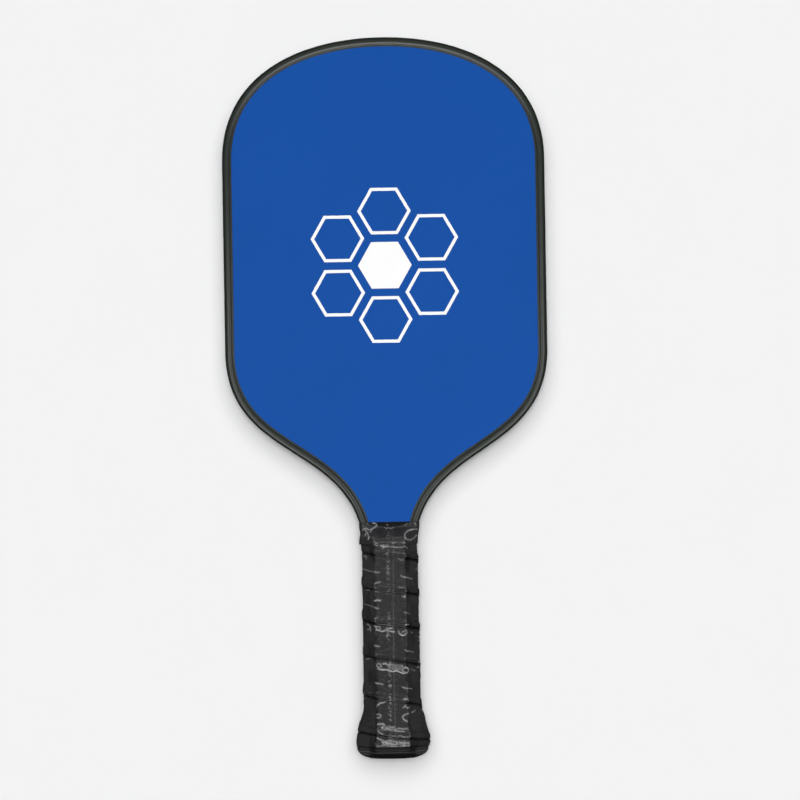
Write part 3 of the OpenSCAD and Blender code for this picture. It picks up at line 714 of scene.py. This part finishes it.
class Paint:
    """A procedural material: one shader with noise behind its colour, roughness and bump."""

    def __init__(self, name, colour, roughness, specular=0.5, **fixed):
        self.material = bpy.data.materials.new(name)
        self.material.use_nodes = True
        self.tree = self.material.node_tree
        self.shader = self.tree.nodes["Principled BSDF"]
        self.shader.inputs["Base Color"].default_value = (*colour, 1)
        self.shader.inputs["Roughness"].default_value = roughness
        self.shader.inputs["Specular IOR Level"].default_value = specular
        for socket, value in fixed.items():
            self.shader.inputs[socket.replace("_", " ")].default_value = value
        self.where = self.tree.nodes.new("ShaderNodeTexCoord").outputs["Object"]
        self.last_bump = None
        self.colour = None

    def stretched(self, scale):
        """Coordinates scaled along each axis, for grain that runs one way."""
        mapping = self.tree.nodes.new("ShaderNodeMapping")
        mapping.inputs["Scale"].default_value = scale
        self.tree.links.new(self.where, mapping.inputs["Vector"])
        return mapping.outputs["Vector"]

    def noise(self, size, detail=3, where=None):
        """Noise with lumps of about size millimetres."""
        texture = self.tree.nodes.new("ShaderNodeTexNoise")
        texture.inputs["Scale"].default_value = 1 / (size * MM)
        texture.inputs["Detail"].default_value = detail
        self.tree.links.new(where or self.where, texture.inputs["Vector"])
        return texture.outputs["Fac"]

    def pores(self, size):
        """Cells of about size millimetres, darkest in their middles."""
        texture = self.tree.nodes.new("ShaderNodeTexVoronoi")
        texture.inputs["Scale"].default_value = 1 / (size * MM)
        self.tree.links.new(self.where, texture.inputs["Vector"])
        return texture.outputs["Distance"]

    def wave(self, size, direction):
        """Straight bands, size millimetres apart."""
        texture = self.tree.nodes.new("ShaderNodeTexWave")
        texture.bands_direction = direction
        # At scale 1 the texture has 20 bands in TURN metres
        texture.inputs["Scale"].default_value = TURN / 20 / (size * MM)
        self.tree.links.new(self.where, texture.inputs["Vector"])
        return texture.outputs["Fac"]

    def colours(self, value, low, high):
        """Shades the base colour from low to high over the middle of the value's range."""
        ramp = self.tree.nodes.new("ShaderNodeValToRGB")
        for stop, position, colour in zip(ramp.color_ramp.elements, (0.3, 0.7), (low, high)):
            stop.position = position
            stop.color = (*colour, 1)
        self.tree.links.new(value, ramp.inputs["Fac"])
        self.colour = ramp.outputs["Color"]
        self.tree.links.new(self.colour, self.shader.inputs["Base Color"])
        return self

    def worn(self, rubbed, grimy, specular=0.5):
        """Fades to one colour, a painted highlight, where the mesh's stored value is above 0, and to
        another, painted shade, where it is below.
        """
        where = self.tree.nodes.new("ShaderNodeAttribute")
        where.attribute_name = "wear"
        # A mix node's colour sockets are inputs 6 and 7 and output 2
        for colour, full in ((rubbed, 1), (grimy, -1)):
            share, mix = self.tree.nodes.new("ShaderNodeMapRange"), self.tree.nodes.new("ShaderNodeMix")
            share.inputs["From Max"].default_value = full
            mix.data_type = "RGBA"
            mix.inputs[7].default_value = (*colour, 1)
            self.tree.links.new(where.outputs["Fac"], share.inputs["Value"])
            self.tree.links.new(share.outputs["Result"], mix.inputs["Factor"])
            self.tree.links.new(self.colour, mix.inputs[6])
            self.colour = mix.outputs[2]
        self.tree.links.new(self.colour, self.shader.inputs["Base Color"])
        dull = self.tree.nodes.new("ShaderNodeMapRange")
        dull.inputs["From Min"].default_value, dull.inputs["From Max"].default_value = -0.9, 0
        dull.inputs["To Min"].default_value, dull.inputs["To Max"].default_value = 0.05, specular
        self.tree.links.new(where.outputs["Fac"], dull.inputs["Value"])
        self.tree.links.new(dull.outputs["Result"], self.shader.inputs["Specular IOR Level"])
        return self

    def rough(self, value, low, high):
        """Lets the roughness follow a value from low to high."""
        remap = self.tree.nodes.new("ShaderNodeMapRange")
        remap.inputs["From Min"].default_value, remap.inputs["From Max"].default_value = 0.3, 0.7
        remap.inputs["To Min"].default_value, remap.inputs["To Max"].default_value = low, high
        self.tree.links.new(value, remap.inputs["Value"])
        self.tree.links.new(remap.outputs["Result"], self.shader.inputs["Roughness"])
        return self

    def bump(self, value, depth, invert=False):
        """Adds relief of about depth millimetres."""
        node = self.tree.nodes.new("ShaderNodeBump")
        node.invert = invert
        node.inputs["Distance"].default_value = depth * MM
        self.tree.links.new(value, node.inputs["Height"])
        if self.last_bump:
            self.tree.links.new(self.last_bump, node.inputs["Normal"])
        self.last_bump = node.outputs["Normal"]
        self.tree.links.new(self.last_bump, self.shader.inputs["Normal"])
        return self


def near(colour, share):
    """The colour made lighter or darker by a share."""
    return tuple(c * (1 + share) for c in colour)


def film_paint():
    blue = (0.0088, 0.0795, 0.362)
    p = Paint("printed_film", blue, 0.6, 0.03)
    p.colours(p.noise(55), near(blue, -0.015), near(blue, 0.015))
    p.rough(p.noise(9), 0.55, 0.66)
    p.bump(p.noise(0.35, 4), 0.006)
    return p.bump(p.noise(0.09, 2), 0.002)


def ink_paint():
    white = (0.95, 0.955, 0.95)
    p = Paint("raised_ink", white, 0.5, 0.3)
    p.colours(p.noise(12), near(white, -0.01), near(white, 0.01))
    p.rough(p.noise(2), 0.42, 0.58)
    return p.bump(p.noise(0.4, 4), 0.012)


def guard_paint():
    grey = (0.0088, 0.0132, 0.0086)
    p = Paint("guard_elastomer", grey, 0.4, 0.5)
    p.colours(p.noise(14, 5), near(grey, -0.06), near(grey, 0.06))
    p.rough(p.noise(3.5, 4), 0.37, 0.43)
    p.bump(p.pores(0.45), 0.004, invert=True)
    return p.bump(p.noise(0.16, 3), 0.002)


def grip_paint():
    black = (0.0178, 0.0178, 0.0182)
    p = Paint("grip_polyurethane", black, 0.26, 0.5)
    p.colours(p.noise(5, 5), near(black, -0.08), near(black, 0.08))
    # Painted highlights on the creases and marks, painted shade by the seams, grooves and bevels
    p.worn(RUBBED, GRIME)
    p.rough(p.noise(2.6, 5), 0.22, 0.3)
    p.bump(p.noise(2.2, 5), 0.006)
    p.bump(p.pores(0.55), 0.004, invert=True)
    return p.bump(p.noise(0.18, 3), 0.003)


def collar_paint():
    black = (0.018, 0.018, 0.019)
    p = Paint("collar_film", black, 0.26, 0.5)
    p.colours(p.noise(4, 4), near(black, -0.08), near(black, 0.1))
    # Painted highlights on the creases and marks, painted shade where the tape bends down and in two
    # patches
    p.worn(RUBBED, (0.004, 0.004, 0.004))
    p.rough(p.noise(3, 4), 0.2, 0.28)
    p.bump(p.noise(1.6, 4), 0.012)
    return p.bump(p.noise(0.3, 3), 0.004)


def cap_paint():
    black = (0.008, 0.008, 0.0083)
    p = Paint("cap_polymer", black, 0.42, 0.3)
    p.colours(p.noise(6, 4), near(black, -0.12), near(black, 0.12))
    # Painted highlight lines round the end
    p.worn(RUBBED, black, 0.06)
    p.rough(p.noise(2.5, 4), 0.36, 0.5)
    return p.bump(p.noise(0.28, 4), 0.02)


def badge_paint():
    black = (0.026, 0.026, 0.028)
    p = Paint("badge_polymer", black, 0.22, 0.5)
    p.colours(p.noise(3, 3), near(black, -0.08), near(black, 0.08))
    p.rough(p.noise(1.5, 4), 0.17, 0.3)
    return p.bump(p.noise(0.6, 3), 0.008)


def core_paint():
    white = (0.86, 0.87, 0.86)
    p = Paint("core_polypropylene", white, 0.5, 0.4)
    p.colours(p.noise(10), near(white, -0.03), near(white, 0.03))
    return p.bump(p.noise(0.5, 3), 0.02)


def fibre_paint():
    black = (0.05, 0.05, 0.055)
    p = Paint("fibre_sheet", black, 0.45, 0.5)
    p.colours(p.wave(2.2, "DIAGONAL"), near(black, -0.3), near(black, 0.4))
    return p.bump(p.wave(2.2, "DIAGONAL"), 0.04)


def glue_paint():
    amber = (0.7, 0.62, 0.42)
    p = Paint("cured_adhesive", amber, 0.4, 0.5)
    p.colours(p.noise(6, 4), near(amber, -0.12), near(amber, 0.1))
    return p.bump(p.noise(1.2, 4), 0.05)


def wood_paint():
    pale = (0.6, 0.5, 0.36)
    p = Paint("handle_wood", pale, 0.6, 0.4)
    grain = p.noise(3, 5, p.stretched((1, 0.08, 1)))
    p.colours(grain, near(pale, -0.25), near(pale, 0.1))
    return p.bump(grain, 0.08)


def staple_paint():
    steel = (0.6, 0.6, 0.6)
    p = Paint("staple_wire", steel, 0.3, 0.5, Metallic=1.0)
    p.rough(p.noise(0.4, 4, p.stretched((0.2, 1, 1))), 0.25, 0.42)
    return p.colours(p.noise(2), near(steel, -0.08), near(steel, 0.08))


def dress(piece, paint):
    """Gives one piece its material."""
    piece.data.materials.clear()
    piece.data.materials.append(paint.material)


def dress_all(pieces):
    """Gives every shown piece and every CAD node its material."""
    paints = {
        "core_plastic": core_paint(), "composite_sheet": fibre_paint(), "blue_film": film_paint(),
        "white_ink": ink_paint(), "edge_rubber": guard_paint(), "glue": glue_paint(),
        "handle_wood": wood_paint(), "cap_plastic": cap_paint(), "staple_steel": staple_paint(),
        "badge_plastic": badge_paint(), "grip_leather": grip_paint(), "collar_film": collar_paint(),
    }
    slots = {row["node"]: row["material_slot"] for row in frame["record"]["subparts"]}
    for name, node in nodes.items():
        dress(node, paints[slots[name]])
    for piece, slot in pieces:
        dress(piece, paints[slot])
        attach(piece, "root")


# ---- Stage ----

def make_camera():
    """A long lens straight above the front face, with the paddle leaning slightly left."""
    distance, seen, lean = 3.0, 0.4645, math.radians(-0.957)
    aim_x, aim_y, aim_z = 0.0075, -0.0014, (MID_PLANE + FILM_Z) * MM
    camera = bpy.data.objects.new("camera", bpy.data.cameras.new("camera"))
    bpy.context.scene.collection.objects.link(camera)
    camera.data.sensor_width = 36
    camera.data.lens = 36 * distance / seen
    camera.data.clip_end = 50
    camera.location = (aim_x, aim_y, aim_z + distance)
    camera.rotation_euler = (0, 0, lean)
    bpy.context.scene.camera = camera


def make_floor():
    """A wide sheet of pale paper, which the paddle doesn't mirror."""
    work = bmesh.new()
    bmesh.ops.create_grid(work, x_segments=8, y_segments=8, size=8)
    mesh = bpy.data.meshes.new("floor")
    work.to_mesh(mesh)
    work.free()
    floor = bpy.data.objects.new("floor", mesh)
    bpy.context.scene.collection.objects.link(floor)
    white = (0.893, 0.893, 0.893)
    p = Paint("floor_paper", white, 0.9, 0.0)
    p.colours(p.noise(60), near(white, -0.002), near(white, 0.002))
    floor.data.materials.append(p.material)
    floor.visible_glossy = False


def sun(name, strength, spread, lean):
    """A distant light, leaning from overhead towards the head, which no glossy surface mirrors."""
    lamp = bpy.data.lights.new(name, "SUN")
    lamp.energy, lamp.angle = strength, math.radians(spread)
    light = bpy.data.objects.new(name, lamp)
    bpy.context.scene.collection.objects.link(light)
    light.rotation_euler = (math.radians(-lean), 0, 0)
    light.visible_glossy = False


def softbox(name, azimuth, zenith, size, radiance, distance=1.4):
    """A rectangular light that only the glossy surfaces mirror."""
    lamp = bpy.data.lights.new(name, "AREA")
    lamp.shape, lamp.size, lamp.size_y = "RECTANGLE", size[0], size[1]
    lamp.energy = radiance * math.pi * size[0] * size[1]
    light = bpy.data.objects.new(name, lamp)
    bpy.context.scene.collection.objects.link(light)
    a, e = math.radians(azimuth), math.radians(zenith)
    way = Vector((math.sin(a) * math.sin(e), math.cos(a) * math.sin(e), math.cos(e)))
    light.location = way * distance
    light.rotation_mode = "QUATERNION"
    light.rotation_quaternion = way.to_track_quat("Z", "Y")
    light.visible_diffuse, light.visible_camera = False, False


def make_lights():
    """Two suns for the matt surfaces and the shadow, and softboxes for the highlights."""
    sun("wide_light", 1.84, 46, 14)
    sun("core_light", 1.26, 13, 3)
    # Round the paddle at half height: bright beyond the butt, and almost dark beyond the head
    ring_zenith, ring_size = 44, (0.82, 0.5)
    ring_light = {0: 0.7, 45: 1, 90: 0.3, 135: 6, 180: 9.5, 225: 6, 270: 0.3, 315: 1}
    for azimuth, radiance in ring_light.items():
        softbox(f"ring_light_{azimuth}", azimuth, ring_zenith, ring_size, radiance)
    # Dim cards straight above, low beyond the head and low on both sides
    softbox("top_card", 0, 5, (0.6, 0.6), 0.27)
    softbox("head_card", 0, 82, (1.2, 0.5), 0.35)
    for azimuth in (90, 270):
        softbox(f"side_card_{azimuth}", azimuth, 88, (1.5, 0.5), 0.2)
    # Close over the two hips, where the guard is brightest
    for azimuth in (81, 279):
        softbox(f"hip_card_{azimuth}", azimuth, 25, (0.08, 0.08), 9, distance=0.3)


def make_world():
    """A pale room to the camera, and only a little stray light for everything else."""
    room_grey, stray_light = 0.896, 0.04
    world = bpy.data.worlds.new("room")
    bpy.context.scene.world = world
    world.use_nodes = True
    tree = world.node_tree
    tree.nodes.clear()
    room, stray = (tree.nodes.new("ShaderNodeBackground") for _ in range(2))
    room.inputs["Color"].default_value = (room_grey, room_grey, room_grey, 1)
    stray.inputs["Color"].default_value = (1, 1, 1, 1)
    stray.inputs["Strength"].default_value = stray_light
    ray, mix = tree.nodes.new("ShaderNodeLightPath"), tree.nodes.new("ShaderNodeMixShader")
    tree.links.new(ray.outputs["Is Camera Ray"], mix.inputs["Fac"])
    tree.links.new(stray.outputs["Background"], mix.inputs[1])
    tree.links.new(room.outputs["Background"], mix.inputs[2])
    tree.links.new(mix.outputs["Shader"], tree.nodes.new("ShaderNodeOutputWorld").inputs["Surface"])


make_camera()
make_world()
make_lights()
make_floor()
bpy.context.scene.view_settings.view_transform = "Standard"

dress_all([
    (make_edge_guard(), "edge_rubber"),
    (make_butt_cap(), "cap_plastic"),
    (make_badge(), "badge_plastic"),
    (make_grip(), "grip_leather"),
    (make_collar(), "collar_film"),
])
